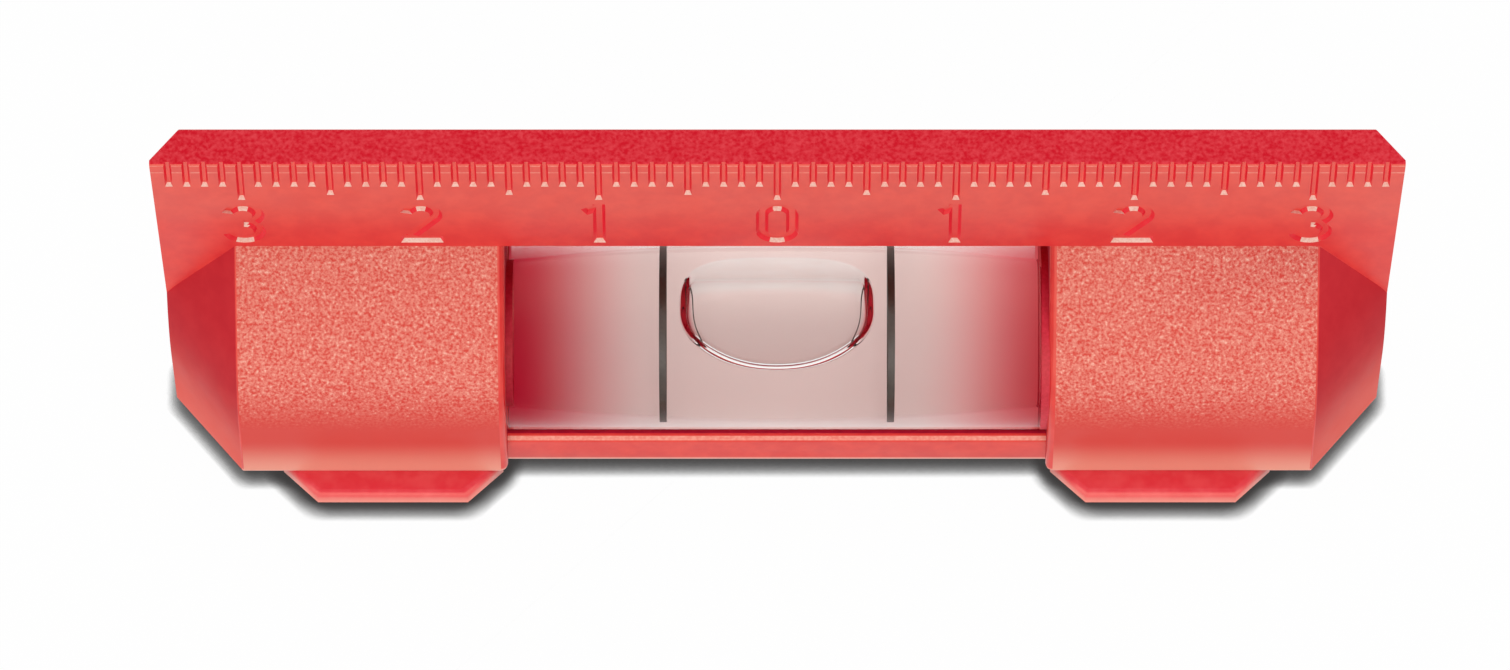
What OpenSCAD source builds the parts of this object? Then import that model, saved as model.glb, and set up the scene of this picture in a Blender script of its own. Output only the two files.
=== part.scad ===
// Pocket magnetic level: a moulded housing with an engraved centimetre scale along its top edge,
// a clear bubble vial in a window between two blocks, and a magnet in each of its two feet.
// X runs along the level, the scale faces -Y, and the soles stand on Z = 0 under the vial's axis.

/* [Overall] */
// Length along the scale edge
overall_l = 70; // [66:0.5:90]
// Height from the soles to the scale edge
overall_h = 24.3; // [24:0.1:28]
// Depth from the front of the feet to the flat back
overall_d = 14.7; // [14.6:0.1:17]

/* [Ruler] */
// Thickness of the ruler at its top edge
ruler_t = 2.4; // [1.8:0.1:3]
// Height of the scale face above the blocks
ruler_h = 8.9; // [8.7:0.1:9.4]
// Distance of the scale face behind the vial's axis
ruler_y = 0.65; // [0.5:0.05:1]
// Radius of the ruler's long top edges
ruler_edge_r = 0.2; // [0.1:0.05:0.6]
// Inward lean of the two end faces, in degrees
end_draft = 1.2; // [0:0.1:3]
// How much the rear corner of each ruler end is cut back
corner_cut = 1.65; // [0.5:0.05:2.5]
// Depth of the end face that is left in front of that cut
corner_flat = 0.3; // [0.1:0.1:0.8]
// Height of the upright strip along the top of the back
back_lip = 2; // [1:0.1:3]
// Slope of the back below that strip, in degrees from level
back_slope = 62; // [60:1:64]

/* [Scale] */
// Spacing of the graduations
tick_pitch = 1; // [1:0.5:2]
// Width of a graduation at the surface
tick_w = 0.42; // [0.35:0.01:0.5]
// Depth of the graduations and numerals
engrave_depth = 0.2; // [0.1:0.01:0.3]
// How far a graduation's side walls lean in from the surface to its floor
tick_lean = 0.11; // [0.05:0.01:0.14]
// How far the walls of a numeral and the ends of every straight groove lean in
numeral_lean = 0.18; // [0.05:0.01:0.22]
// Length of a plain graduation
tick_short = 2.35; // [1.5:0.05:2.5]
// Length of every fifth graduation
tick_mid = 3.25; // [2.6:0.05:3.4]
// Length of every tenth graduation
tick_long = 3.8; // [3.5:0.1:4]
// Least distance from the last graduation to the end of the ruler
tick_margin = 0.7; // [0.5:0.1:3]
// Height of a numeral
numeral_h = 4.2; // [3.6:0.1:4.4]
// Width of a numeral
numeral_w = 2.4; // [2:0.1:2.8]
// Stroke width of a numeral at the surface
numeral_stroke = 0.7; // [0.5:0.01:0.8]
// Length of the flag of the 1
flag_l = 0.85; // [0.6:0.05:1]
// Angle at which the hooks of the 2 and the 3 end
hook_deg = 165; // [140:5:175]
// Distance from the top edge to the middle of the numerals
numeral_drop = 6.4; // [6.3:0.1:6.6]

/* [Blocks] */
// Length of the window between the blocks
window_l = 30.8; // [28:0.2:31.4]
// Distance of the blocks' front in front of the vial's axis
block_front = 5.85; // [5.8:0.05:6.2]
// Slope of the blocks' grained face, in degrees from upright
block_slope = 45; // [42:1:47]
// Radius of the blocks' rounded nose
nose_r = 7.8; // [7:0.1:8.5]
// Length of the slanted end of each block
chamfer_l = 4.4; // [3:0.1:6]
// Angle of the slanted ends to the length, in degrees
chamfer_deg = 51; // [40:1:60]
// Slope of the window's ceiling behind the ruler, in degrees from level
ceiling_slope = 50; // [45:1:55]
// Height of the bar under the vial
bar_h = 2.4; // [1.8:0.1:2.5]
// Gap between the bar and the vial
bar_gap = 0.15; // [0.1:0.01:0.4]
// Thickness of the bar at its top
bar_t = 0.5; // [0.4:0.05:0.8]
// Chamfer along the bar's upper front edge
bar_chamfer = 0.3; // [0.1:0.05:0.35]
// Depth of the stiffening ledge at the bar's foot
bar_ledge_d = 1.6; // [1:0.1:1.8]
// Height of that ledge
bar_ledge_h = 0.7; // [0.5:0.1:0.9]

/* [Vial] */
// Outer diameter of the vial in the window
vial_d = 11; // [10.4:0.1:11.2]
// Diameter of the vial's ends in the blocks
spigot_d = 8.6; // [8:0.1:9]
// Length of the vial with its ends
vial_l = 36; // [35.6:0.1:37.4]
// Height of the vial's axis above the soles
vial_z = 6.7; // [6.6:0.1:7]
// Bore diameter at the middle of the barrel
bore_d = 6.8; // [6.4:0.1:7]
// Radius of the barrel curve along the bore
barrel_r = 200; // [160:1:400]
// Thickness of the vial's closed end
vial_end_t = 2; // [1.5:0.1:2.5]
// Diameter of the plug in the vial's other end
plug_d = 5; // [4.6:0.1:5.4]
// Length of the plug
plug_l = 3; // [2:0.1:3.5]
// Distance between the two reading rings
ring_gap = 13; // [12.4:0.1:15]
// Width of a reading ring
ring_w = 0.4; // [0.2:0.05:0.5]
// Radial thickness of a reading ring
ring_t = 0.12; // [0.08:0.01:0.2]
// Length of the bubble
bubble_l = 11.1; // [9:0.1:12]
// Width of the bubble
bubble_w = 5; // [4:0.1:5.2]
// Height of the bubble above its flat underside
bubble_h = 2.5; // [2:0.1:3.4]
// Travel of the bubble to each side
bubble_travel = 9; // [4:0.5:9]

/* [Back] */
// Thickness of the rear cover
cover_t = 1.1; // [0.8:0.05:1.6]
// Length of the rear cover
cover_l = 44; // [43:0.5:50]
// Height of the rear cover
cover_h = 12.6; // [12.2:0.1:12.8]
// Diameter of the pegs on the cover and feet
peg_d = 1.6; // [1.2:0.1:1.8]
// Length of those pegs
peg_l = 2; // [1.5:0.1:2.2]
// Height of the lower cover pegs above the soles
cover_peg_low = 5.8; // [5.4:0.1:6.2]
// Distance between the lower and upper cover pegs
cover_peg_gap = 4.2; // [3:0.1:5]
// Thickness of the cradle under the vial
cradle_t = 0.55; // [0.4:0.05:0.6]
// Thickness of the cradle behind the vial
cradle_back_t = 0.6; // [0.4:0.05:1]
// How far the cradle reaches in front of the vial's axis
cradle_front = 2.4; // [1.5:0.1:2.8]
// Height of the cradle's rear wall above the vial's axis
cradle_rise = 4.4; // [3:0.1:4.8]
// Width of the pads that press the vial into its seats
pad_w = 2; // [1:0.1:2]
// Height of those pads
pad_h = 6; // [4:0.5:7]

/* [Feet] */
// Thickness of a foot
foot_t = 1; // [0.8:0.1:1.2]
// Width of a foot
foot_w = 12.6; // [11:0.1:13]
// Distance from the middle of the level to the middle of a foot
foot_x = 22; // [21.5:0.1:23]
// Size of a foot's cut corners
foot_cut = 2; // [1:0.1:2.4]
// Diameter of a magnet
magnet_d = 6.5; // [5:0.1:6.8]
// Height of a magnet
magnet_h = 3; // [2:0.1:3.5]
// Distance from the middle of the level to a magnet's axis
magnet_x = 23; // [22.6:0.1:23.4]
// How far a magnet's face lies above its sole
magnet_recess = 0.15; // [0.05:0.05:0.4]
// Distance between a foot's pegs along the level
foot_peg_gap = 5.6; // [5.2:0.1:5.8]
// Distance of a foot's pegs from the vial's axis, front and back
foot_peg_y = 4; // [3.8:0.1:4.1]

/* [Clearances] */
// Gap between the vial and the seats and cradle around it
vial_gap = 0.15; // [0.05:0.05:0.25]
// Gap round the cover and the cradle
cover_gap = 0.1; // [0.05:0.05:0.2]
// Gap between a pad and the ends of its slot
pad_gap = 0.1; // [0.05:0.05:0.2]
// Radial gap of the pegs, magnets and plug in their holes
fit_gap = 0.04; // [0.02:0.01:0.08]
// Gap between the bubble and the wall of the bore
bubble_gap = 0.15; // [0.1:0.01:0.2]
// Gap between the bubble's path and the liquid under it
liquid_gap = 0.3; // [0.2:0.05:0.4]

/* [Hidden] */
$fn = 64;
arc_steps = 12;
cut = 1;
far = overall_l;
half_l = overall_l / 2;
ruler_back = ruler_y + ruler_t;
block_top = overall_h - ruler_h;
window_x = window_l / 2;
chamfer_x = half_l - chamfer_l;
vial_r = vial_d / 2;
spigot_r = spigot_d / 2;
body_l = window_l - 2 * vial_gap;
bore_r = bore_d / 2;
cover_in = vial_r + vial_gap + cradle_back_t;
back_y = cover_in + cover_t;
front_y = back_y - overall_d;
cover_x = cover_l / 2;
cover_top = foot_t + cover_h;
bar_top = foot_t + bar_h;
bar_back = -sqrt(pow(vial_r + bar_gap, 2) - pow(vial_z - bar_top, 2));
bar_front = bar_back - bar_t;
ledge_top = foot_t + bar_ledge_h;
ledge_back = bar_front + bar_ledge_d;
ceiling_z = vial_z + vial_r + 2 * vial_gap;
ceiling_run = (block_top - ceiling_z) / tan(ceiling_slope);
nose_y = nose_r - block_front;
nose_z = block_top + (cos(block_slope) * (nose_y - ruler_y) - nose_r) / sin(block_slope);
plug_x = vial_l / 2 - plug_l;
bore_left = vial_l / 2 - vial_end_t;
ring_x = ring_gap / 2;
ring_r = barrel(ring_x);
pad_x = window_x + pad_gap;
seat_x = max(vial_l / 2 + vial_gap, pad_x + pad_w + pad_gap);
pad_in = sqrt(pow(spigot_r, 2) - pow(pad_h / 2, 2));
cover_peg_x = (seat_x + cover_x) / 2;
cradle_z = vial_z - vial_r - vial_gap - cradle_t;
bubble_z = vial_z + bore_r - bubble_gap - bubble_w / 2;
path_r = barrel_r - bubble_gap - bubble_w / 2;
path_drop = path_r - sqrt(pow(path_r, 2) - pow(bubble_travel, 2));
bubble_low = bubble_w / 2 - bubble_h;
liquid_top = bubble_z + bubble_low - path_drop - liquid_gap;
pocket_x = bubble_travel + bubble_l / 2 + liquid_gap;
bowl_r = (numeral_w - numeral_stroke) / 2;
stroke_top = (numeral_h - numeral_stroke) / 2;
tick_n = floor((half_l - tick_margin) / tick_pitch);

RED = [0.87, 0.27, 0.26];

// Radius of the barrel-shaped bore at a distance x from its middle
function barrel(x) = bore_r - barrel_r + sqrt(pow(barrel_r, 2) - pow(x, 2));

// Points on an arc round c from angle a0 to a1
function arc(c, r, a0, a1) =
  [for (i = [0 : arc_steps]) let (a = a0 + (a1 - a0) * i / arc_steps) c + r * [cos(a), sin(a)]];

// Front outline of a block, from the foot of the scale face down to its underside
function block_front_line() = concat(
  arc([nose_y, nose_z], nose_r, 180 - block_slope, 180),
  [[-block_front, foot_t]]
);

// Extrudes an outline drawn in Y and Z along X, over a length centred on the origin
module along_x(length) {
  rotate([90, 0, 90])
    linear_extrude(length, center = true) children();
}

// Cylinder along X, centred on the vial's axis
module vial_rod(r, length) {
  translate([0, 0, vial_z])
    rotate([0, 90, 0]) cylinder(r = r, h = length, center = true);
}

// The full-length ruler with the body behind it
module ruler_body() {
  r = ruler_edge_r;
  slope_foot = overall_h - back_lip - (back_y - ruler_back) * tan(back_slope);
  along_x(overall_l + 2 * cut)
    polygon(concat(
      [[ruler_y, foot_t]],
      arc([ruler_y + r, overall_h - r], r, 180, 90),
      arc([ruler_back - r, overall_h - r], r, 90, 0),
      [[ruler_back, overall_h - back_lip], [back_y, slope_foot], [back_y, foot_t]]
    ));
}

// Everything behind a block outline that slants back towards the right end
module slanted_end() {
  top = [ruler_y + far * sin(block_slope), block_top + far * cos(block_slope)];
  low = foot_t - cut;
  line = concat([top], block_front_line(), [[-block_front, low], [2 * far, low], [2 * far, top[1]]]);
  translate([chamfer_x, 0, 0])
    rotate([90, 0, 90 + chamfer_deg])
      linear_extrude(4 * far, center = true)
        polygon([for (p = line) [p[0] * cos(chamfer_deg), p[1]]]);
}

// The right-hand block, before the window cuts its inner side
module block() {
  intersection() {
    translate([half_l / 2, 0, 0])
      along_x(half_l + 2 * cut)
        polygon(concat(
          [[ruler_y, block_top]],
          block_front_line(),
          [[ruler_back, foot_t], [ruler_back, block_top]]
        ));
    slanted_end();
  }
}

// Space between the two leaning end faces
module end_envelope() {
  low_x = half_l - overall_h * tan(end_draft);
  rotate([90, 0, 0])
    linear_extrude(2 * far, center = true)
      polygon([[-low_x, 0], [low_x, 0], [half_l, overall_h], [-half_l, overall_h]]);
}

// What is cut from the rear corners of both ends
module rear_corners() {
  run = corner_cut * far / (ruler_t - corner_flat);
  for (side = [0, 1])
    mirror([side, 0, 0])
      translate([half_l, ruler_y + corner_flat, -cut])
        linear_extrude(overall_h + 2 * cut)
          polygon([[0, 0], [-run, far], [far, far], [far, 0]]);
}

// Front window between the blocks, with the space that the vial lies in
module window() {
  along_x(window_l)
    polygon([[-far, block_top], [ruler_y, block_top], [ruler_y + ceiling_run, ceiling_z],
      [cover_in, ceiling_z], [cover_in, -cut], [-far, -cut]]);
}

// Seats for the vial's ends, open to the back so that the vial can be laid in
module vial_seats() {
  seat_r = spigot_r + vial_gap;
  vial_rod(seat_r, 2 * seat_x);
  translate([-seat_x, 0, vial_z - seat_r])
    cube([2 * seat_x, back_y, 2 * seat_r]);
}

// Rebate in the back that takes the rear cover
module cover_rebate() {
  translate([-cover_x - cover_gap, cover_in, -cut])
    cube([cover_l + 2 * cover_gap, cover_t + cut, cover_top + cover_gap + cut]);
}

// Pegs of the rear cover, pointing forward from its inner face
module cover_pegs(gap) {
  for (side = [-1, 1], z = [cover_peg_low, cover_peg_low + cover_peg_gap])
    translate([side * cover_peg_x, cover_in, z])
      rotate([90, 0, 0]) cylinder(d = peg_d + 2 * gap, h = peg_l + gap);
}

// Pegs of one foot, pointing up from its top face
module foot_pegs(side, gap) {
  for (dx = [-1, 1], dy = [-1, 1])
    translate([side * magnet_x + dx * foot_peg_gap / 2, dy * foot_peg_y, foot_t])
      cylinder(d = peg_d + 2 * gap, h = peg_l + gap);
}

// Hole for one magnet, from the sole up
module magnet_hole(side) {
  translate([side * magnet_x, 0, -cut])
    cylinder(d = magnet_d + 2 * fit_gap, h = cut + magnet_recess + magnet_h);
}

// Section of a groove: as wide as stated on the X axis, with leaning walls down to its floor
module groove_section(width, lean) {
  d = engrave_depth;
  mouth = width / 2 + lean;
  base = width / 2 - lean;
  polygon([[-mouth, d], [mouth, d], [base, -d], [-base, -d]]);
}

// Straight groove from point a to point b, cut down from Z = 0, with leaning sides and ends
module stroke(a, b, width, lean) {
  d = b - a;
  length = norm(d);
  translate([a[0], a[1], 0])
    rotate([0, 0, atan2(d[1], d[0])])
      intersection() {
        rotate([90, 0, 90])
          linear_extrude(length) groove_section(width, lean);
        translate([length / 2, 0, 0])
          rotate([90, 0, 0])
            linear_extrude(2 * width, center = true) groove_section(length, numeral_lean);
      }
}

// Graduations along the top edge, longer at every fifth and tenth
module ticks() {
  for (i = [-tick_n : tick_n]) {
    length = i % 10 == 0 ? tick_long : i % 5 == 0 ? tick_mid : tick_short;
    translate([i * tick_pitch, ruler_y, overall_h - length])
      rotate([90, 0, 0]) stroke([0, 0], [0, length + cut], tick_w, tick_lean);
  }
}

// Straight stroke of a numeral from point a to point b
module numeral_line(a, b) {
  stroke(a, b, numeral_stroke, numeral_lean);
}

// Curved stroke of a numeral round c from angle a0 to a1
module bow(c, r, a0, a1) {
  translate([c[0], c[1], 0])
    rotate([0, 0, a0])
      rotate_extrude(angle = a1 - a0)
        translate([r, 0]) groove_section(numeral_stroke, numeral_lean);
}

// Numeral 0; like the others it is cut down from Z = 0, in a box of numeral_w by numeral_h
module numeral_0() {
  bend = stroke_top - bowl_r;
  bow([0, bend], bowl_r, 0, 180);
  bow([0, -bend], bowl_r, 180, 360);
  for (x = [-bowl_r, bowl_r])
    numeral_line([x, -bend - numeral_lean], [x, bend + numeral_lean]);
}

// Numeral 1, with a slanted flag
module numeral_1() {
  numeral_line([0, -numeral_h / 2], [0, numeral_h / 2]);
  numeral_line([-flag_l, numeral_h / 2 - flag_l], [0, stroke_top]);
}

// Numeral 2, whose leg leaves the bowl as a tangent
module numeral_2() {
  bowl = [0, stroke_top - bowl_r];
  foot = [-bowl_r, -stroke_top];
  leg = foot - bowl;
  turn = atan2(leg[1], leg[0]) + acos(bowl_r / norm(leg));
  leg_top = bowl + bowl_r * [cos(turn), sin(turn)];
  bow(bowl, bowl_r, turn, hook_deg);
  numeral_line(leg_top + numeral_lean * (leg_top - foot) / norm(leg_top - foot), foot);
  numeral_line([-numeral_w / 2, -stroke_top], [numeral_w / 2, -stroke_top]);
}

// Numeral 3, of two equal bows
module numeral_3() {
  r = stroke_top / 2;
  bow([0, r], r, -90, hook_deg);
  bow([0, -r], r, -hook_deg, 90);
}

// Numerals 3 2 1 0 1 2 3 under the long graduations
module numerals() {
  for (n = [-3 : 3])
    translate([n * 10 * tick_pitch, ruler_y, overall_h - numeral_drop])
      rotate([90, 0, 0]) {
        if (n == 0) numeral_0();
        if (abs(n) == 1) numeral_1();
        if (abs(n) == 2) numeral_2();
        if (abs(n) == 3) numeral_3();
      }
}

// Bar across the foot of the window, with a ledge that stiffens it
module window_bar() {
  along_x(window_l + cut)
    polygon([[bar_front, foot_t], [bar_front, bar_top - bar_chamfer], [bar_front + bar_chamfer, bar_top],
      [bar_back, bar_top], [bar_back, ledge_top], [ledge_back, ledge_top], [ledge_back, foot_t]]);
}

// One red moulding: ruler, blocks and bar
module housing() {
  color(RED)
    difference() {
      union() {
        difference() {
          intersection() {
            union() {
              ruler_body();
              block();
              mirror([1, 0, 0]) block();
            }
            end_envelope();
          }
          rear_corners();
          window();
          vial_seats();
          cover_rebate();
        }
        window_bar();
      }
      cover_pegs(fit_gap);
      for (side = [-1, 1]) {
        foot_pegs(side, fit_gap);
        magnet_hole(side);
      }
      ticks();
      numerals();
    }
}

// Red plate that closes the back and carries the cradle
module rear_cover() {
  color(RED) {
    translate([-cover_x, cover_in, foot_t])
      cube([cover_l, cover_t, cover_h]);
    cover_pegs(0);
  }
}

// White trough behind and under the vial, which makes the bubble easy to read
module vial_cradle() {
  color("white")
    difference() {
      translate([cover_gap - window_x, -cradle_front, cradle_z])
        cube([window_l - 2 * cover_gap, cradle_front + cover_in, vial_z + cradle_rise - cradle_z]);
      vial_rod(vial_r + vial_gap, window_l);
    }
}

// Inside of the vial: the barrel, from the closed end to the plug
module vial_bore() {
  step = (bore_left + plug_x) / (2 * arc_steps);
  wall = [for (x = [-bore_left : step : plug_x + step / 2]) [barrel(x), x]];
  translate([0, 0, vial_z])
    rotate([0, 90, 0])
      rotate_extrude() polygon(concat([[0, -bore_left]], wall, [[0, plug_x]]));
}

// A reading ring let into the wall of the bore
module reading_ring(side) {
  color("black")
    translate([side * ring_x, 0, 0])
      difference() {
        vial_rod(ring_r + ring_t, ring_w);
        vial_rod(ring_r, ring_w + cut);
      }
}

// Clear acrylic body of the vial
module vial_tube() {
  color([0.9, 0.95, 0.95, 0.4])
    difference() {
      union() {
        vial_rod(vial_r, body_l);
        vial_rod(spigot_r, vial_l);
      }
      vial_bore();
      for (side = [-1, 1])
        translate([side * ring_x, 0, 0]) vial_rod(ring_r + ring_t, ring_w);
      translate([plug_x, 0, vial_z])
        rotate([0, 90, 0]) cylinder(d = plug_d + 2 * fit_gap, h = plug_l + cut);
    }
}

// Plug that seals the filled vial
module vial_plug() {
  color([0.9, 0.95, 0.95, 0.4])
    translate([plug_x, 0, vial_z])
      rotate([0, 90, 0]) cylinder(d = plug_d, h = plug_l);
}

// Liquid in the bore, with the path of the bubble left free along its top
module vial_liquid() {
  color([0.95, 0.97, 0.97, 0.5])
    difference() {
      vial_bore();
      translate([-pocket_x, -far, liquid_top])
        cube([2 * pocket_x, 2 * far, far]);
    }
}

// Air bubble under the top of the barrel, round above and flat below
module vial_bubble() {
  color([1, 1, 1, 0.6])
    translate([0, 0, bubble_z])
      intersection() {
        scale([bubble_l, bubble_w, bubble_w]) sphere(d = 1, $fn = 32);
        translate([-far, -far, bubble_low]) cube(2 * far);
      }
}

// Rubber pad between the cover and one end of the vial
module vial_pad(side) {
  color("dimgray")
    difference() {
      translate([side * (pad_x + pad_w / 2) - pad_w / 2, pad_in, vial_z - pad_h / 2])
        cube([pad_w, cover_in - pad_in, pad_h]);
      vial_rod(spigot_r, 2 * seat_x);
    }
}

// Nickel-plated disc magnet
module magnet(side) {
  color("silver")
    translate([side * magnet_x, 0, magnet_recess])
      cylinder(d = magnet_d, h = magnet_h);
}

// Red foot that stands proud of the block at the front, with a hole for the magnet
module foot(side) {
  x0 = foot_x - foot_w / 2;
  x1 = foot_x + foot_w / 2;
  color(RED)
    difference() {
      union() {
        mirror([side < 0 ? 1 : 0, 0, 0])
          linear_extrude(foot_t)
            polygon([[x0 + foot_cut, front_y], [x1 - foot_cut, front_y], [x1, front_y + foot_cut],
              [x1, back_y - foot_cut], [x1 - foot_cut, back_y], [x0 + foot_cut, back_y],
              [x0, back_y - foot_cut], [x0, front_y + foot_cut]]);
        foot_pegs(side, 0);
      }
      magnet_hole(side);
    }
}

housing();
rear_cover();
vial_cradle();
vial_tube();
vial_plug();
vial_liquid();
vial_bubble();
reading_ring(-1);  // ring_left
reading_ring(1);  // ring_right
vial_pad(-1);  // pad_left
vial_pad(1);  // pad_right
magnet(-1);  // magnet_left
magnet(1);  // magnet_right
foot(-1);  // foot_left
foot(1);  // foot_right
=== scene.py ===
from math import asin, atan2, cos, pi, radians, sin, sqrt

import bmesh
import bpy
from mathutils import Matrix, Vector


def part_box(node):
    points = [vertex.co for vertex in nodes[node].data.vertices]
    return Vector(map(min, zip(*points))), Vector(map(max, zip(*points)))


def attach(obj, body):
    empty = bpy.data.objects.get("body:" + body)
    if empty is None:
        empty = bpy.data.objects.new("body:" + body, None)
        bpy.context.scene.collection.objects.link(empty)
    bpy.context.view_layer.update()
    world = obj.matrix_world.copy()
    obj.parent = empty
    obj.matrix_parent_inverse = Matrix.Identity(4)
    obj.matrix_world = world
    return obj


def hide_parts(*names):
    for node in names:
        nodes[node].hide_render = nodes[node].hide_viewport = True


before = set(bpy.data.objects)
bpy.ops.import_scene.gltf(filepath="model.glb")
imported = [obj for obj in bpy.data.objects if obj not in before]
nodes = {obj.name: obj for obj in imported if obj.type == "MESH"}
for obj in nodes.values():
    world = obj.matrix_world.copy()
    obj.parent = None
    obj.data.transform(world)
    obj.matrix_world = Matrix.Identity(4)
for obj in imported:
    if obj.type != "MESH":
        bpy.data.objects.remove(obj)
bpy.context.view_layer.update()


# Housing: ruler, two blocks and the bar under the vial in one injection moulding of red ABS.
# Its mould was polished for the scale, and spark-eroded for the block faces and the top edge.
# The edges that a hand meets are rounded, and the scale is cut with leaning walls.

MM = 0.001
scene = bpy.context.scene


def box_mm(node):
    """Lowest and highest corner of a CAD node in mm."""
    return [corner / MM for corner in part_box(node)]


# Sizes and places in mm
housing_low, housing_high = box_mm("housing")
TOP = housing_high.z
UNDERSIDE = housing_low.z
BLOCK_FRONT = -housing_low.y
SCALE_H = 8.9
BLOCK_TOP = TOP - SCALE_H
CHAMFER_L = 4.4
CHAMFER_X = housing_high.x - CHAMFER_L
CRADLE_FRONT = box_mm("vial_cradle")[0].y
WINDOW_X = 15.4
VIAL_Z = 6.7
BAR_MIDDLE = -4.7
SCALE_Y = 0.65
ENGRAVED = 0.2
EDGE_R = 0.2
# Top and height in mm of a thin band on the scale face that is painted as a highlight line
HIGHLIGHT_LINE_Z = 23.5
HIGHLIGHT_LINE_H = 0.09

# Roundings in mm, and where the rear ones begin: edges up to REAR_FACET long are facets of a curve
LARGEST_ROUND = 0.5
WINDOW_ROUND = 0.4
NOSE_FOOT_ROUND = 0.16
SLANT_FOOT_ROUND = 0.1
SLANT_ROUND = 0.06
CEILING_ROUND = 0.15
BAR_ROUND = 0.08
REAR_ROUND = 0.3
REAR_X = 25.6
REAR_Y = 4.0
REAR_FACET = 2.0

# Tolerances in mm, angles in degrees, and bounds on a normal's share along an axis
EDGE_TOLERANCE = 0.02
WELD = 0.002
SNAP = 0.0001
FLAT_DEG = 0.5
SMOOTH_DEG = 30
CREASE_DEG = 12
FLAT = 0.99
SQUARE = 0.9
UPWARD = 0.8
LEDGE = 0.68
SLANTED = 0.5
LEANING = 0.25
STRAIGHT = 0.1

# Spans of the noise values that draw clouds, grain peaks and painted glints (painted highlights) in moulded
# ABS
CLOUD_MM = 2.0
CLOUD_SPAN = {"From Min": 0.3, "From Max": 0.7}
PEAK_SPAN = {"From Min": 0.35, "From Max": 0.68}
PAINTED_GLINT_SPAN = {"From Min": 0.64, "From Max": 0.76, "To Max": 0.6}
PAINTED_GLINT = "FBD2BE"
SHEEN = "FFE6C4"
GLOSS_DRIFT = 0.05
ABS_IOR = 1.53


def hex_colour(code):
    """Linear RGBA of an sRGB hex colour."""
    channels = [int(code[i:i + 2], 16) / 255 for i in (0, 2, 4)]
    return [c / 12.92 if c <= 0.04045 else ((c + 0.055) / 1.055) ** 2.4 for c in channels] + [1.0]


def add_node(tree, kind, inputs, **settings):
    """Adds a shader node, sets it up and fills its inputs with values or with links."""
    made = tree.nodes.new("ShaderNode" + kind)
    for name, value in settings.items():
        setattr(made, name, value)
    for name, value in inputs.items():
        if isinstance(value, bpy.types.NodeSocket):
            tree.links.new(value, made.inputs[name])
        else:
            made.inputs[name].default_value = value
    return made


def new_material(name):
    """An empty node material: itself, its tree, its output node and the place on the piece."""
    material = bpy.data.materials.new(name)
    material.use_nodes = True
    tree = material.node_tree
    tree.nodes.clear()
    out = add_node(tree, "OutputMaterial", {})
    return material, tree, out, add_node(tree, "TexCoord", {}).outputs["Object"]


def moulded_abs(name, deep, pale, roughness, specular, grain_mm, depth_mm, drift, fade=None, painted_light=()):
    """ABS as it leaves a mould: colour and gloss drift a little, and the mould's grain stands out in it.

    grain_mm and depth_mm are the grain's width and height, and drift is how far the colour wanders in
    clouds. fade gives two heights in mm between which the grain, and the glints painted on its peaks,
    die away downwards. Each row of painted_light gives an axis, two places on it in mm, a colour and its
    share: the surface takes on that colour, as painted light or shade, from the first place to the second.
    """
    material, tree, out, place = new_material(name)
    where = add_node(tree, "SeparateXYZ", {"Vector": place}).outputs
    cloud = add_node(tree, "TexNoise", {"Vector": place, "Scale": 1 / (CLOUD_MM * MM),
                                        "Detail": 3.0}).outputs["Fac"]
    grain = add_node(tree, "TexNoise", {"Vector": place, "Scale": 1 / (grain_mm * MM), "Detail": 2.0,
                                        "Roughness": 0.6}).outputs["Fac"]
    peaks = add_node(tree, "MapRange", {"Value": grain, **PEAK_SPAN}).outputs["Result"]
    if fade:
        painted_glints = add_node(tree, "MapRange", {"Value": grain, **PAINTED_GLINT_SPAN}).outputs["Result"]
        kept = add_node(tree, "MapRange", {"Value": where["Z"], "From Min": fade[0] * MM,
                                           "From Max": fade[1] * MM},
                        interpolation_type="SMOOTHSTEP").outputs["Result"]
        grain, peaks, painted_glints = [
            add_node(tree, "Math", {0: layer, 1: kept}, operation="MULTIPLY").outputs["Value"]
            for layer in (grain, peaks, painted_glints)]
    slow = add_node(tree, "MapRange", {"Value": cloud, **CLOUD_SPAN, "To Min": -drift,
                                       "To Max": drift}).outputs["Result"]
    share = add_node(tree, "Math", {0: peaks, 1: slow}, operation="ADD", use_clamp=True).outputs["Value"]
    colour = add_node(tree, "Mix", {"Factor": share, "A": hex_colour(deep), "B": hex_colour(pale)},
                      data_type="RGBA").outputs["Result"]
    # The grain's highest peaks get painted glints that stand for its sparkle.
    if fade:
        colour = add_node(tree, "Mix", {"Factor": painted_glints, "A": colour, "B": hex_colour(PAINTED_GLINT)},
                          data_type="RGBA").outputs["Result"]
    for axis, start, end, code, most in painted_light:
        share = add_node(tree, "MapRange", {"Value": where[axis], "From Min": start * MM,
                                            "From Max": end * MM, "To Max": most},
                         interpolation_type="SMOOTHSTEP").outputs["Result"]
        colour = add_node(tree, "Mix", {"Factor": share, "A": colour, "B": hex_colour(code)},
                          data_type="RGBA").outputs["Result"]
    shine = add_node(tree, "MapRange", {"Value": cloud, **CLOUD_SPAN, "To Min": roughness - GLOSS_DRIFT,
                                        "To Max": roughness + GLOSS_DRIFT}).outputs["Result"]
    relief = add_node(tree, "Bump", {"Height": grain, "Distance": depth_mm * MM,
                                     "Strength": 1.0}).outputs["Normal"]
    body = add_node(tree, "BsdfPrincipled", {"Base Color": colour, "Roughness": shine, "IOR": ABS_IOR,
                                             "Specular IOR Level": specular,
                                             "Specular Tint": hex_colour(SHEEN), "Normal": relief})
    tree.links.new(body.outputs["BSDF"], out.inputs["Surface"])
    return material


def piece_from(bm, name, materials, body):
    """A named piece from a finished bmesh, riding on a body."""
    mesh = bpy.data.meshes.new(name)
    bm.to_mesh(mesh)
    bm.free()
    for material in materials:
        mesh.materials.append(material)
    piece = bpy.data.objects.new(name, mesh)
    scene.collection.objects.link(piece)
    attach(piece, body)
    return piece


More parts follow.
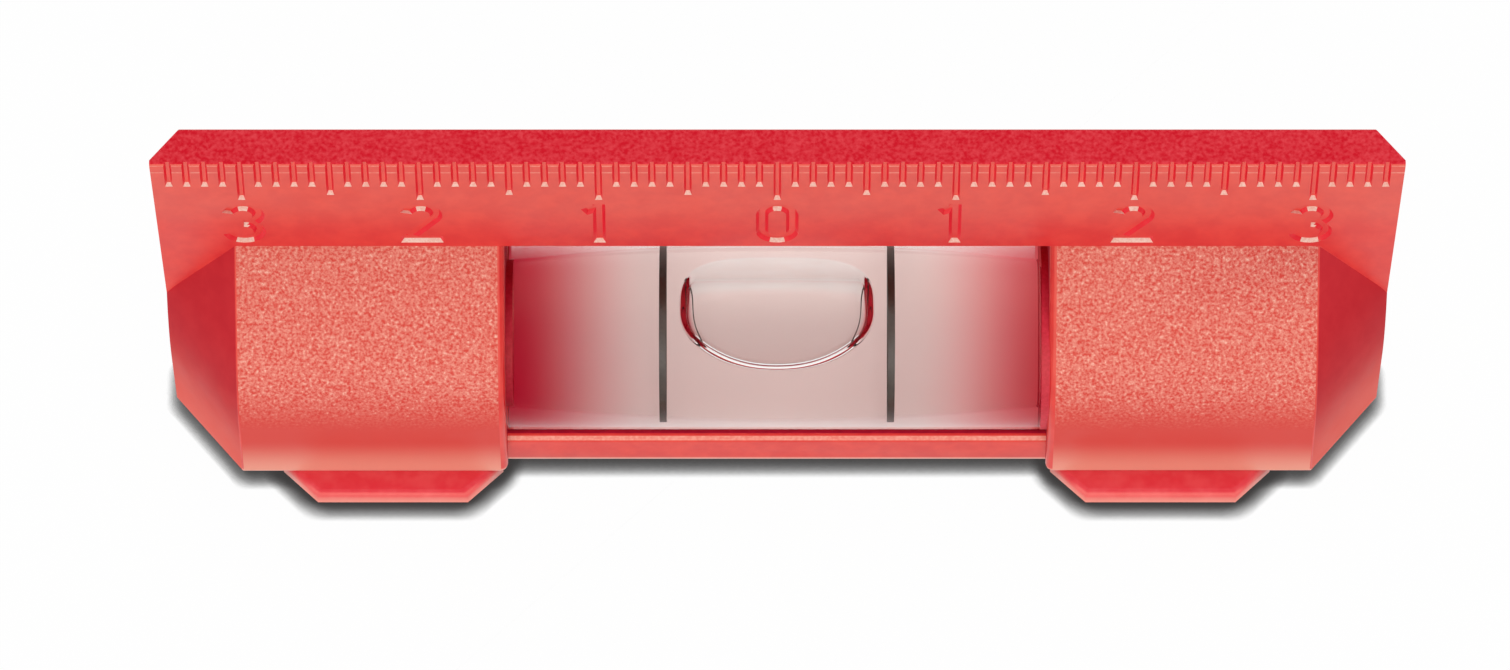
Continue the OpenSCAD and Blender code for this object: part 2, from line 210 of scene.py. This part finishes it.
def cad_copy(node):
    """A bmesh of a CAD node with its triangles joined into whole flat faces."""
    bm = bmesh.new()
    bm.from_mesh(nodes[node].data)
    bmesh.ops.remove_doubles(bm, verts=bm.verts, dist=WELD * MM)
    bmesh.ops.dissolve_limit(bm, angle_limit=radians(FLAT_DEG), verts=bm.verts, edges=bm.edges)
    return bm


def shade_smooth(bm, sharp_deg):
    """Smooth shading that breaks at edges sharper than an angle."""
    for face in bm.faces:
        face.smooth = True
    for edge in bm.edges:
        edge.smooth = edge.calc_face_angle(0) < radians(sharp_deg)


def soften(bm, radius_of):
    """Marks each sharp outer edge with its rounding, given in mm as a share of the largest."""
    shade_smooth(bm, CREASE_DEG)
    weight = bm.edges.layers.float.new("bevel_weight_edge")
    for edge in bm.edges:
        if not edge.smooth and edge.is_convex:
            radius = radius_of(edge, (edge.verts[0].co + edge.verts[1].co) / (2 * MM))
            edge[weight] = radius / LARGEST_ROUND
            edge.smooth = radius > 0


def round_edges(piece, segments):
    """Rounds the marked edges and lets the large faces keep their own normals."""
    bevel = piece.modifiers.new("rounded edges", "BEVEL")
    bevel.limit_method = "WEIGHT"
    bevel.width = LARGEST_ROUND * MM
    bevel.segments = segments
    bevel.use_clamp_overlap = False
    bevel.miter_outer = "MITER_ARC"
    bevel.material = 0
    even = piece.modifiers.new("even normals", "WEIGHTED_NORMAL")
    even.keep_sharp = True


def near(value, target):
    """Whether a place in mm lies on a target plane."""
    return abs(value - target) < EDGE_TOLERANCE


def housing_round(edge, middle):
    """Radius in mm of a housing edge, from where its middle lies: X = 0 for the edges along the window."""
    x, y, z = abs(middle.x), middle.y, middle.z
    front = any(face.normal.y < -SLANTED for face in edge.link_faces)
    at_foot = near(z, UNDERSIDE)
    if near(x, WINDOW_X) and (front or (at_foot and y < -SCALE_Y)):
        return WINDOW_ROUND
    if at_foot and near(y, -BLOCK_FRONT) and x > WINDOW_X:
        return NOSE_FOOT_ROUND
    if at_foot and y < 0 and x > CHAMFER_X:
        return SLANT_FOOT_ROUND
    if near(x, CHAMFER_X) and front:
        return SLANT_ROUND
    if near(x, 0) and near(z, BLOCK_TOP) and near(y, SCALE_Y):
        return CEILING_ROUND
    if near(x, 0) and y < BAR_MIDDLE:
        return BAR_ROUND
    if y > REAR_Y and x > REAR_X and edge.calc_length() > REAR_FACET * MM:
        return REAR_ROUND
    return 0


# Polished ABS: a clean red with soft reflections, with a painted warm sheen high up and painted pale light
# from the table along its lowest edges.
polished_abs = moulded_abs("red ABS polished", "DC2028", "E63230", roughness=0.34, specular=0.75,
                           grain_mm=1.2, depth_mm=0.002, drift=0.12,
                           painted_light=[("Z", 1.4, 1.05, "F8C8B4", 0.7), ("Z", 16.6, 20.0, "F6B48C", 0.07)])
# Spark-eroded ABS: pale specks over the red, partly grain and partly painted sheen, with painted glints,
# dying out down the nose of the block, whose foot has painted pale light from the table.
grained_abs = moulded_abs("red ABS spark grain", "D62C28", "EE9484", roughness=0.45, specular=0.6,
                          grain_mm=0.17, depth_mm=0.03, drift=0.03, fade=(5.4, 9.4),
                          painted_light=[("Z", 4.6, 0.8, "F6AE98", 0.75)])
# Coarser spark erosion on the top edge: deep crimson, blotchy.
edge_abs = moulded_abs("red ABS coarse grain", "D80024", "EA3E4A", roughness=0.5, specular=0.35,
                       grain_mm=0.24, depth_mm=0.03, drift=0.15)
# Matt ABS on the slanted ends: deeper, without sheen, with painted pale light from the table towards the
# foot.
matt_abs = moulded_abs("red ABS matt", "C82430", "CE2A34", roughness=0.5, specular=0.12,
                       grain_mm=1.2, depth_mm=0.001, drift=0.3, painted_light=[("Z", 9.0, 1.0, "FF7060", 0.75)])
# Groove walls: a brighter, more saturated red than the face, painted light that lifts the shade between
# them.
wall_abs = moulded_abs("red ABS groove walls", "EA1830", "F02438", roughness=0.4, specular=0.4,
                       grain_mm=0.5, depth_mm=0.001, drift=0.3)
# Groove ends: almost cream, a painted highlight on their upward faces.
groove_end_highlight_abs = moulded_abs("red ABS painted groove-end highlight", "F0BAA8", "FADCCC", roughness=0.5, specular=0.5,
                      grain_mm=0.12, depth_mm=0.004, drift=0.3)
# Painted highlights: thin pale lines along the scale's upper rim and the bar's upper edge.
edge_highlight_abs = moulded_abs("red ABS painted edge highlight", "EC7468", "F49A8A", roughness=0.4, specular=0.6,
                        grain_mm=0.2, depth_mm=0.002, drift=0.3)
# ABS inside the window: dull, and dark red as painted shade in the gap under the vial and on the side walls.
painted_shade_abs = moulded_abs("red ABS painted shade", "A81630", "B81C36", roughness=0.7, specular=0.1,
                        grain_mm=0.5, depth_mm=0.001, drift=0.3)
housing_finishes = [polished_abs, grained_abs, edge_abs, matt_abs, wall_abs, groove_end_highlight_abs, edge_highlight_abs, painted_shade_abs]
POLISHED, GRAINED, EDGE, MATT, WALL, GROOVE_END_HIGHLIGHT, EDGE_HIGHLIGHT, PAINTED_SHADE = range(len(housing_finishes))


def housing_finish(face):
    """Which finish a face of the housing has, from where it lies and how it faces."""
    x, y, z = face.calc_center_median() / MM
    normal = face.normal
    in_window = abs(x) < WINDOW_X
    past_chamfer = abs(x) > CHAMFER_X
    in_rim = z > TOP - EDGE_R
    in_groove = SCALE_Y < y < SCALE_Y + ENGRAVED - EDGE_TOLERANCE and BLOCK_TOP < z < TOP - EDGE_R
    # The thin band under the rim that gets a painted highlight line
    on_highlight_line = near(y, SCALE_Y) and normal.y < -SQUARE and HIGHLIGHT_LINE_Z - HIGHLIGHT_LINE_H < z < HIGHLIGHT_LINE_Z
    if in_rim and normal.z > UPWARD:
        return EDGE
    # Painted highlight on the bar's upper front edge.
    if in_window and y < BAR_MIDDLE and normal.z > SLANTED and normal.y < -SLANTED:
        return EDGE_HIGHLIGHT
    if not in_window and not past_chamfer and y < 0 and normal.y < -SLANTED and abs(normal.x) < STRAIGHT:
        return GRAINED
    if past_chamfer and not in_groove and abs(normal.x) > LEANING and normal.y < -LEANING:
        return MATT
    # Painted shade on the window's low upward faces in front of the cradle and on its side walls.
    if in_window and z < VIAL_Z and y < CRADLE_FRONT and normal.z > SQUARE:
        return PAINTED_SHADE
    if near(abs(x), WINDOW_X) and abs(normal.x) > SQUARE:
        return PAINTED_SHADE
    # Painted highlight on the upward faces at the groove ends, and painted light on the groove walls.
    if in_groove and normal.z > LEDGE:
        return GROOVE_END_HIGHLIGHT
    if in_groove and normal.y > -SQUARE:
        return WALL
    # Painted highlight line on the band under the scale's rim, and on the rim's front facets.
    if on_highlight_line or (in_rim and -FLAT < normal.y < -SQUARE):
        return EDGE_HIGHLIGHT
    return POLISHED


shell = cad_copy("housing")
# A thin band is cut out of the scale face, to be painted as a highlight line.
for height in (HIGHLIGHT_LINE_Z, HIGHLIGHT_LINE_Z - HIGHLIGHT_LINE_H):
    scale_faces = [face for face in shell.faces
                   if face.normal.y < -SQUARE and near(face.calc_center_median().y / MM, SCALE_Y)]
    around = {part for face in scale_faces for part in (face, *face.edges, *face.verts)}
    bmesh.ops.bisect_plane(shell, geom=list(around), dist=SNAP * MM, plane_co=(0, 0, height * MM),
                           plane_no=(0, 0, 1))
soften(shell, housing_round)
for face in shell.faces:
    face.material_index = housing_finish(face)
housing = piece_from(shell, "level_housing", housing_finishes, "level")
round_edges(housing, segments=4)
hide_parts("housing")


# Feet: two red ABS plates with cut corners, pegged under the blocks and standing proud at the front.
# Each is open in the middle, where its magnet shows.

SOLE_ROUND = 0.05
FOOT_ROUND = 0.45
HOLE_FACET = 1.0
OUTLINE_EDGE = 1.5


def foot_round(edge, middle):
    """Radius in mm of a foot's edge: the outline of its top face is rounder than that of its sole."""
    length = edge.calc_length() / MM
    if near(middle.z, 0) and length >= HOLE_FACET:
        return SOLE_ROUND
    if near(middle.z, UNDERSIDE) and length > OUTLINE_EDGE:
        return FOOT_ROUND
    return 0


# Feet ABS: painted light makes it brighter than the housing's red, and paler still towards the sole.
foot_abs = moulded_abs("red ABS feet with painted light", "EC3446", "F24E58", roughness=0.34, specular=0.75,
                       grain_mm=1.2, depth_mm=0.002, drift=0.3, painted_light=[("Z", 0.98, 0.1, "F8A48E", 0.6)])
for side in ("left", "right"):
    plate = cad_copy("foot_" + side)
    soften(plate, foot_round)
    foot = piece_from(plate, "level_foot_" + side, [foot_abs], "level")
    round_edges(foot, segments=5)
    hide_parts("foot_" + side)


# Rear cover: a flat plate of polished red ABS that closes the back over the vial.
# It is pressed in on four pegs and lies level with the back.

COVER_OUT = box_mm("rear_cover")[1].y
COVER_ROUND = 0.15


def cover_round(edge, middle):
    """Radius in mm of the cover's edges: only its outer outline is eased."""
    return COVER_ROUND if near(middle.y, COVER_OUT) else 0


lid = cad_copy("rear_cover")
soften(lid, cover_round)
cover = piece_from(lid, "level_rear_cover", [polished_abs], "level")
round_edges(cover, segments=3)
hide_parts("rear_cover")


# Cradle: a trough of white ABS behind and under the vial, a bright ground for the bubble.
# It is moulded smooth and lies between the blocks, a hair short of their walls.

HAIR = 0.01
VIAL_R = 5.5
CRADLE_GAP = 0.15
CRADLE_R = VIAL_R + CRADLE_GAP
CRADLE_X = WINDOW_X - HAIR
CRADLE_LOW = box_mm("vial_cradle")[0].z
CRADLE_BACK, CRADLE_HIGH = box_mm("vial_cradle")[1].yz
TROUGH_STEPS = 72

rise = CRADLE_HIGH - VIAL_Z
lip = sqrt(CRADLE_R ** 2 - rise ** 2)
sweep = atan2(rise, lip) + pi / 2 + asin(-CRADLE_FRONT / CRADLE_R)
trough = bmesh.new()
rim = trough.edges.new([trough.verts.new(Vector((x, lip, CRADLE_HIGH)) * MM) for x in (-CRADLE_X, CRADLE_X)])
bmesh.ops.spin(trough, geom=[rim, *rim.verts], angle=-sweep, steps=TROUGH_STEPS, axis=(1, 0, 0),
               cent=(0, 0, VIAL_Z * MM))
edge = rim
for y, z in ((CRADLE_BACK, CRADLE_HIGH), (CRADLE_BACK, CRADLE_LOW), (CRADLE_FRONT, CRADLE_LOW)):
    drawn = bmesh.ops.extrude_edge_only(trough, edges=[edge])["geom"]
    edge = next(part for part in drawn if isinstance(part, bmesh.types.BMEdge) and part.calc_length() > MM)
    for vert in edge.verts:
        vert.co.y, vert.co.z = y * MM, z * MM
bmesh.ops.holes_fill(trough, edges=trough.edges)
bmesh.ops.recalc_face_normals(trough, faces=trough.faces)
shade_smooth(trough, SMOOTH_DEG)
# White satin ABS: near white, a touch pinker low down, and towards its ends painted red bounce light from
# the blocks beside it, with painted shade deepening it on the left.
white_abs = moulded_abs("white ABS satin", "FAF5F2", "FCF9F7", roughness=0.5, specular=0.4,
                        grain_mm=1.2, depth_mm=0.002, drift=0.3,
                        painted_light=[("Z", 5.6, 3.4, "FAEBE8", 1.0), ("X", -6.9, -15.0, "E6244C", 1.0),
                               ("X", 7.6, 15.9, "FF6070", 1.0)])
cradle = piece_from(trough, "level_vial_cradle", [white_abs], "level")
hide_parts("vial_cradle")


# Vial: a clear acrylic rod, stepped down at its sawn ends, with a polished barrel-shaped bore that is
# moulded from one end and sealed with a welded plug. Two grooves in the bore hold the reading rings.

END_X = box_mm("vial_tube")[1].x
PLUG_X = box_mm("vial_plug")[0].x
BORE_LEFT = -box_mm("vial_liquid")[0].x
BODY_X = 15.46
SPIGOT_R = 4.3
BORE_R = 3.4
BARREL_R = 200.0
PLUG_HOLE_R = 2.54
BORE_STATIONS = 32
TURN_STEPS = 144
ACRYLIC_IOR = 1.49
SPIRIT_IOR = 1.45
FAINT = 0.045
RIPPLE_MM = 3.0
RIPPLE_H = 0.002


def barrel(x):
    """Radius of the bore at a distance x from its middle."""
    return BORE_R - BARREL_R + sqrt(BARREL_R ** 2 - x ** 2)


def turned(outline):
    """A closed solid turned round the vial's axis from an outline of distances along it and radii."""
    bm = bmesh.new()
    verts = [bm.verts.new((x * MM, 0, (VIAL_Z + r) * MM)) for x, r in outline]
    edges = [bm.edges.new(pair) for pair in zip(verts, verts[1:])]
    bmesh.ops.spin(bm, geom=verts + edges, angle=2 * pi, steps=TURN_STEPS, axis=(1, 0, 0),
                   cent=(0, 0, VIAL_Z * MM), use_merge=True)
    bmesh.ops.remove_doubles(bm, verts=bm.verts, dist=WELD * MM)
    bmesh.ops.recalc_face_normals(bm, faces=bm.faces)
    shade_smooth(bm, SMOOTH_DEG)
    return bm


def clear_material(name, ior, tint, gloss):
    """Clear and smooth, with the faint ripple of a moulding.

    gloss is the share of its outer reflections that shows. Reflections fainter than FAINT are left out.
    """
    material, tree, out, place = new_material(name)
    ripple = add_node(tree, "TexNoise", {"Vector": place, "Scale": 1 / (RIPPLE_MM * MM),
                                         "Detail": 1.0}).outputs["Fac"]
    relief = add_node(tree, "Bump", {"Height": ripple, "Distance": RIPPLE_H * MM,
                                     "Strength": 0.3}).outputs["Normal"]
    through = add_node(tree, "BsdfRefraction", {"Color": hex_colour(tint), "Roughness": 0.0, "IOR": ior,
                                                "Normal": relief}).outputs["BSDF"]
    mirrored = add_node(tree, "BsdfGlossy", {"Color": hex_colour("FFFFFF"), "Roughness": 0.0,
                                             "Normal": relief}).outputs["BSDF"]
    fresnel = add_node(tree, "Fresnel", {"IOR": ior, "Normal": relief}).outputs["Fac"]
    strong = add_node(tree, "MapRange", {"Value": fresnel, "From Min": FAINT}).outputs["Result"]
    inside = add_node(tree, "NewGeometry", {}).outputs["Backfacing"]
    most = add_node(tree, "MapRange", {"Value": inside, "To Min": gloss}).outputs["Result"]
    share = add_node(tree, "Math", {0: strong, 1: most}, operation="MULTIPLY").outputs["Value"]
    both = add_node(tree, "MixShader", {0: share, 1: through, 2: mirrored})
    tree.links.new(both.outputs["Shader"], out.inputs["Surface"])
    return material


# Polished acrylic: water-clear, with a soft gloss outside.
acrylic = clear_material("clear acrylic polished", ACRYLIC_IOR, tint="FFFFFF", gloss=0.8)
# Where the spirit wets it, the acrylic all but vanishes.
wetted_acrylic = clear_material("clear acrylic wetted", ACRYLIC_IOR / SPIRIT_IOR, tint="FFFFFF", gloss=1.0)
# Sawn acrylic: both ends are frosted, and painted the deep red of the seats that show through them.
sawn_acrylic_painted_red = moulded_abs("acrylic sawn, painted the red of its seat", "C01030", "D02440", roughness=0.5,
                           specular=0.5, grain_mm=0.2, depth_mm=0.004, drift=0.3)
CLEAR, WETTED, SAWN = range(3)


def vial_finish(face):
    """Which finish a face of the vial has: sawn and painted red at both ends and past the plug, wetted in
    the bore, and clear between.
    """
    x, y, z = face.calc_center_median() / MM
    if abs(face.normal.x) > SQUARE or x > PLUG_X + HAIR or x < HAIR - BODY_X:
        return SAWN
    return WETTED if sqrt(y ** 2 + (z - VIAL_Z) ** 2) < BORE_R + HAIR else CLEAR


bore_line = [PLUG_X - (PLUG_X + BORE_LEFT) * i / BORE_STATIONS for i in range(BORE_STATIONS + 1)]
tube = turned([(-END_X, 0), (-END_X, SPIGOT_R), (-BODY_X, SPIGOT_R), (-BODY_X, VIAL_R), (PLUG_X, VIAL_R),
               (BODY_X, VIAL_R), (BODY_X, SPIGOT_R), (END_X, SPIGOT_R), (END_X, PLUG_HOLE_R),
               (PLUG_X, PLUG_HOLE_R)] + [(x, barrel(x)) for x in bore_line] + [(-BORE_LEFT, 0)])
for face in tube.faces:
    face.material_index = vial_finish(face)
vial = piece_from(tube, "vial_body", [acrylic, wetted_acrylic, sawn_acrylic_painted_red], "level")
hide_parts("vial_tube")

# The plug is painted the same red of the seat seen through it.
nodes["vial_plug"].data.materials.clear()
nodes["vial_plug"].data.materials.append(sawn_acrylic_painted_red)


# Spirit: the colourless liquid that fills the bore. Its surface lies on the acrylic, which already
# bends the light there, so it adds no bend of its own.

FILM = 0.02
FILL_SHARE = 0.998
HAZE_MM = 4.0

# Clear spirit: all but unseen, with a trace of haze.
spirit_mat, tree, out, place = new_material("clear spirit")
haze = add_node(tree, "TexNoise", {"Vector": place, "Scale": 1 / (HAZE_MM * MM),
                                   "Detail": 1.0}).outputs["Fac"]
tone = add_node(tree, "Mix", {"Factor": haze, "A": hex_colour("FFFEFD"), "B": hex_colour("FBFAF9")},
                data_type="RGBA").outputs["Result"]
clear = add_node(tree, "BsdfTransparent", {"Color": tone})
tree.links.new(clear.outputs["BSDF"], out.inputs["Surface"])
fill = turned([(PLUG_X - FILM, 0)] + [(x * FILL_SHARE, barrel(x) - FILM) for x in bore_line]
              + [(FILM - BORE_LEFT, 0)])
spirit = piece_from(fill, "vial_spirit_fill", [spirit_mat], "level")
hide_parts("vial_liquid")


# Bubble: the air left in the bore. It lies along the top of the barrel like a flat drop, and its rim
# climbs from the sides of the bore to the crown at both ends.

BUBBLE_L = 11.1
BUBBLE_W = 5.5
BUBBLE_LOW = 0.8
WALL_FILM = 0.12
SIDE_FILM = 0.012
TIP_ROUND = 1.0
SIDE_ROUND = 0.2
TIP_POWER = 4
FRONT_POWER = 2.3
REAR_POWER = 3.0
ROUND_SHARE = 0.6
INWARD_SHARE = 0.6
OUTLINE_STEPS = 160
CLIMB_STEPS = 96


def skin(x, y):
    """Height of the bubble's top over the vial's axis.

    A film of spirit parts it from the bore, thicker at the sides.
    """
    return sqrt((barrel(x) - WALL_FILM - SIDE_FILM * y ** 2) ** 2 - y ** 2)


air = bmesh.new()
bmesh.ops.create_uvsphere(air, u_segments=OUTLINE_STEPS, v_segments=CLIMB_STEPS, radius=1)
for vert in air.verts:
    u, v, w = vert.co
    along, across = cos(atan2(v, u)), sin(atan2(v, u))
    power = FRONT_POWER if across < 0 else REAR_POWER
    plan = (abs(along) ** power + abs(across) ** power) ** (-1 / power)
    rim_x, rim_y = along * plan * BUBBLE_L / 2, across * plan * BUBBLE_W / 2
    fillet = SIDE_ROUND + (TIP_ROUND - SIDE_ROUND) * along ** TIP_POWER
    rim_z = skin(rim_x, rim_y) - fillet
    climb = abs(asin(w)) / (pi / 2)
    turn = min(climb / ROUND_SHARE, 1) * pi / 2
    inner = max(climb - ROUND_SHARE, 0) / (1 - ROUND_SHARE)
    reach = sqrt(rim_x ** 2 + rim_y ** 2)
    edge_round = fillet if w > 0 else rim_z - BUBBLE_LOW
    share = (1 - min(edge_round, INWARD_SHARE * reach) * (1 - cos(turn)) / reach) * (1 - inner)
    x, y = rim_x * share, rim_y * share
    if w > 0:
        z = skin(x, y) - fillet * (1 - sin(turn))
    else:
        z = rim_z - (rim_z - BUBBLE_LOW) * sin(turn)
    vert.co = Vector((x, y, VIAL_Z + z)) * MM
shade_smooth(air, sharp_deg=90)
# Air in spirit: clear in the middle, with bright and dark lines where its rim bends the light away.
air_mat = clear_material("air in spirit", 1 / SPIRIT_IOR, tint="FAFAFA", gloss=1.0)
bubble = piece_from(air, "vial_air_bubble", [air_mat], "bubble")
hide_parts("vial_bubble")

# The clear pieces let light and shadow through to the cradle as if they weren't there.
for seen_through in (vial, spirit, bubble, nodes["vial_plug"]):
    seen_through.visible_shadow = False
    seen_through.visible_diffuse = False


# Reading rings: two thin bands of matt black, pressed into grooves in the wall of the bore either side
# of the bubble.

SPECK_MM = 0.15

# Matt black ink: a warm black without gloss, faintly speckled.
ink, tree, out, place = new_material("matt black ink")
speck = add_node(tree, "TexNoise", {"Vector": place, "Scale": 1 / (SPECK_MM * MM),
                                    "Detail": 2.0}).outputs["Fac"]
shade = add_node(tree, "Mix", {"Factor": speck, "A": hex_colour("2C221C"), "B": hex_colour("4A3C32")},
                 data_type="RGBA").outputs["Result"]
band = add_node(tree, "BsdfPrincipled", {"Base Color": shade, "Roughness": 0.45})
tree.links.new(band.outputs["BSDF"], out.inputs["Surface"])
for side in ("left", "right"):
    ring = nodes["ring_" + side].data
    ring.materials.clear()
    ring.materials.append(ink)


# Pads: blocks of black rubber, cut from sheet. The rear cover presses them against the vial's ends,
# which keeps the vial still in its seats.

BLOOM_MM = 0.5

# Black rubber: dull, with a faint grey bloom.
rubber, tree, out, place = new_material("black rubber")
bloom = add_node(tree, "TexNoise", {"Vector": place, "Scale": 1 / (BLOOM_MM * MM),
                                    "Detail": 3.0}).outputs["Fac"]
shade = add_node(tree, "Mix", {"Factor": bloom, "A": hex_colour("181818"), "B": hex_colour("262626")},
                 data_type="RGBA").outputs["Result"]
soft = add_node(tree, "BsdfPrincipled", {"Base Color": shade, "Roughness": 0.8})
tree.links.new(soft.outputs["BSDF"], out.inputs["Surface"])
for side in ("left", "right"):
    pad = nodes["pad_" + side].data
    pad.materials.clear()
    pad.materials.append(rubber)


# Magnets: sintered discs with rounded rims and a plate of bright nickel, pressed into the feet just
# behind the soles.

MAGNET_ROUND = 0.2
PLATE_MM = 0.4
PLATE_GLOSS = {"To Min": 0.18, "To Max": 0.34}

# Nickel plate: a bright, warm grey with slightly clouded reflections.
nickel, tree, out, place = new_material("nickel plate")
haze = add_node(tree, "TexNoise", {"Vector": place, "Scale": 1 / (PLATE_MM * MM),
                                   "Detail": 4.0}).outputs["Fac"]
shine = add_node(tree, "MapRange", {"Value": haze, **PLATE_GLOSS}).outputs["Result"]
plate = add_node(tree, "BsdfPrincipled", {"Base Color": hex_colour("D2CEC4"), "Metallic": 1.0,
                                          "Roughness": shine})
tree.links.new(plate.outputs["BSDF"], out.inputs["Surface"])
for side in ("left", "right"):
    disc = cad_copy("magnet_" + side)
    soften(disc, lambda edge, middle: MAGNET_ROUND)
    magnet = piece_from(disc, "level_magnet_" + side, [nickel], "level")
    round_edges(magnet, segments=3)
    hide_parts("magnet_" + side)


# Studio: a white table, a broad soft light in front, weaker ones overhead and behind, and a dim room.
# The camera stands in front and looks down steeply, as in the photograph.

PHOTO_W, PHOTO_H = 1510, 670
PIXELS_PER_MM = 17.957
SCALE_EDGE_PIXEL = (777.4, 165.0)
DISTANCE = 573.6
ELEVATION = radians(60)
SENSOR = 36

ahead = Vector((0, cos(ELEVATION), -sin(ELEVATION)))
up = Vector((0, sin(ELEVATION), cos(ELEVATION)))
right = Vector((1, 0, 0))
eye = (Vector((0, SCALE_Y, TOP)) - DISTANCE * ahead
       - right * (SCALE_EDGE_PIXEL[0] - PHOTO_W / 2) / PIXELS_PER_MM
       - up * (PHOTO_H / 2 - SCALE_EDGE_PIXEL[1]) / PIXELS_PER_MM)
camera_data = bpy.data.cameras.new("camera")
camera_data.sensor_width = SENSOR
camera_data.lens = SENSOR * PIXELS_PER_MM * DISTANCE / PHOTO_W
camera_data.clip_start = 0.01
camera_data.clip_end = 20
camera = bpy.data.objects.new("camera", camera_data)
camera.matrix_world = Matrix((right, up, -ahead)).transposed().to_4x4()
camera.location = eye * MM
scene.collection.objects.link(camera)
scene.camera = camera

LAMP_AIM = Vector((0, 0, 0.01))


def softbox(name, width, depth, power, place):
    """A rectangular lamp at a place in metres, turned to the level."""
    lamp = bpy.data.lights.new(name, "AREA")
    lamp.shape = "RECTANGLE"
    lamp.size, lamp.size_y = width, depth
    lamp.energy = power
    lamp_object = bpy.data.objects.new(name, lamp)
    lamp_object.location = place
    lamp_object.rotation_euler = (LAMP_AIM - Vector(place)).to_track_quat("-Z", "Y").to_euler()
    scene.collection.objects.link(lamp_object)
    return lamp_object


softbox("front softbox", width=1.6, depth=0.8, power=7.7, place=(-0.1, -0.9, 0.3))
overhead = softbox("overhead softbox", width=0.8, depth=0.6, power=3.5, place=(0.05, 0.1, 0.9))
behind = softbox("rear softbox", width=0.8, depth=0.6, power=2.2, place=(0.1, 0.9, 0.4))
for lamp_object in (overhead, behind):
    lamp_object.visible_glossy = False

ROOM_LIGHT = 0.3
world = bpy.data.worlds.new("dim room")
scene.world = world
world.use_nodes = True
tree = world.node_tree
tree.nodes.clear()
rays = add_node(tree, "LightPath", {}).outputs
seen = add_node(tree, "Math", {0: rays["Is Camera Ray"], 1: rays["Is Transmission Ray"]},
                operation="MAXIMUM").outputs["Value"]
room = add_node(tree, "Background", {"Color": hex_colour("FFFFFF"), "Strength": ROOM_LIGHT})
white = add_node(tree, "Background", {"Color": hex_colour("FFFFFF"), "Strength": 1.0})
choice = add_node(tree, "MixShader", {0: seen, 1: room.outputs["Background"],
                                      2: white.outputs["Background"]})
add_node(tree, "OutputWorld", {"Surface": choice.outputs["Shader"]})

TABLE_HALF = 2.0
TABLE_DROP = 0.02
table = bmesh.new()
bmesh.ops.create_grid(table, x_segments=1, y_segments=1, size=TABLE_HALF,
                      matrix=Matrix.Translation((0, 0, -TABLE_DROP * MM)))
table_mesh = bpy.data.meshes.new("table")
table.to_mesh(table_mesh)
table.free()

# White laminate: evenly bright to the eye and in reflections, with a painted contact shadow close to the
# object, and not there when seen from below.
SHADOW_REACH = 1.25
SHADOW_LEAN = (0, 0.94, 0.34)
SHADOW_POWER = 10.5
SHADOW_DARKEST = 0.04
GLOW_SHARE = 0.98
laminate, tree, out, place = new_material("white laminate")
laminate.cycles.emission_sampling = "NONE"
rays = add_node(tree, "LightPath", {}).outputs
openness = add_node(tree, "AmbientOcclusion", {"Distance": SHADOW_REACH * MM, "Normal": SHADOW_LEAN},
                    samples=16).outputs["AO"]
# The occlusion, raised to a power, paints the contact shadow into the table's white glow.
painted_contact_shadow = add_node(tree, "Math", {0: openness, 1: SHADOW_POWER}, operation="POWER").outputs["Value"]
painted_contact_shadow = add_node(tree, "MapRange", {"Value": painted_contact_shadow, "To Min": SHADOW_DARKEST}).outputs["Result"]
sheet = add_node(tree, "BsdfDiffuse", {"Color": hex_colour("E4E4E4")}).outputs["BSDF"]
glow_with_painted_shadow = add_node(tree, "Emission", {"Color": hex_colour("FFFFFF"), "Strength": painted_contact_shadow}).outputs["Emission"]
looked_at = add_node(tree, "MixShader", {0: GLOW_SHARE, 1: sheet, 2: glow_with_painted_shadow}).outputs["Shader"]
glare = add_node(tree, "Emission", {"Color": hex_colour("FFFFFF"), "Strength": 1.0}).outputs["Emission"]
mirrored = add_node(tree, "Math", {0: rays["Is Glossy Ray"], 1: rays["Is Transmission Ray"]},
                    operation="MAXIMUM").outputs["Value"]
both = add_node(tree, "MixShader", {0: mirrored, 1: sheet, 2: glare}).outputs["Shader"]
both = add_node(tree, "MixShader", {0: rays["Is Camera Ray"], 1: both, 2: looked_at}).outputs["Shader"]
below = add_node(tree, "NewGeometry", {}).outputs["Backfacing"]
nothing = add_node(tree, "BsdfTransparent", {}).outputs["BSDF"]
both = add_node(tree, "MixShader", {0: below, 1: both, 2: nothing}).outputs["Shader"]
tree.links.new(both, out.inputs["Surface"])
table_mesh.materials.append(laminate)
table_object = bpy.data.objects.new("table", table_mesh)
scene.collection.objects.link(table_object)

scene.view_settings.view_transform = "Standard"
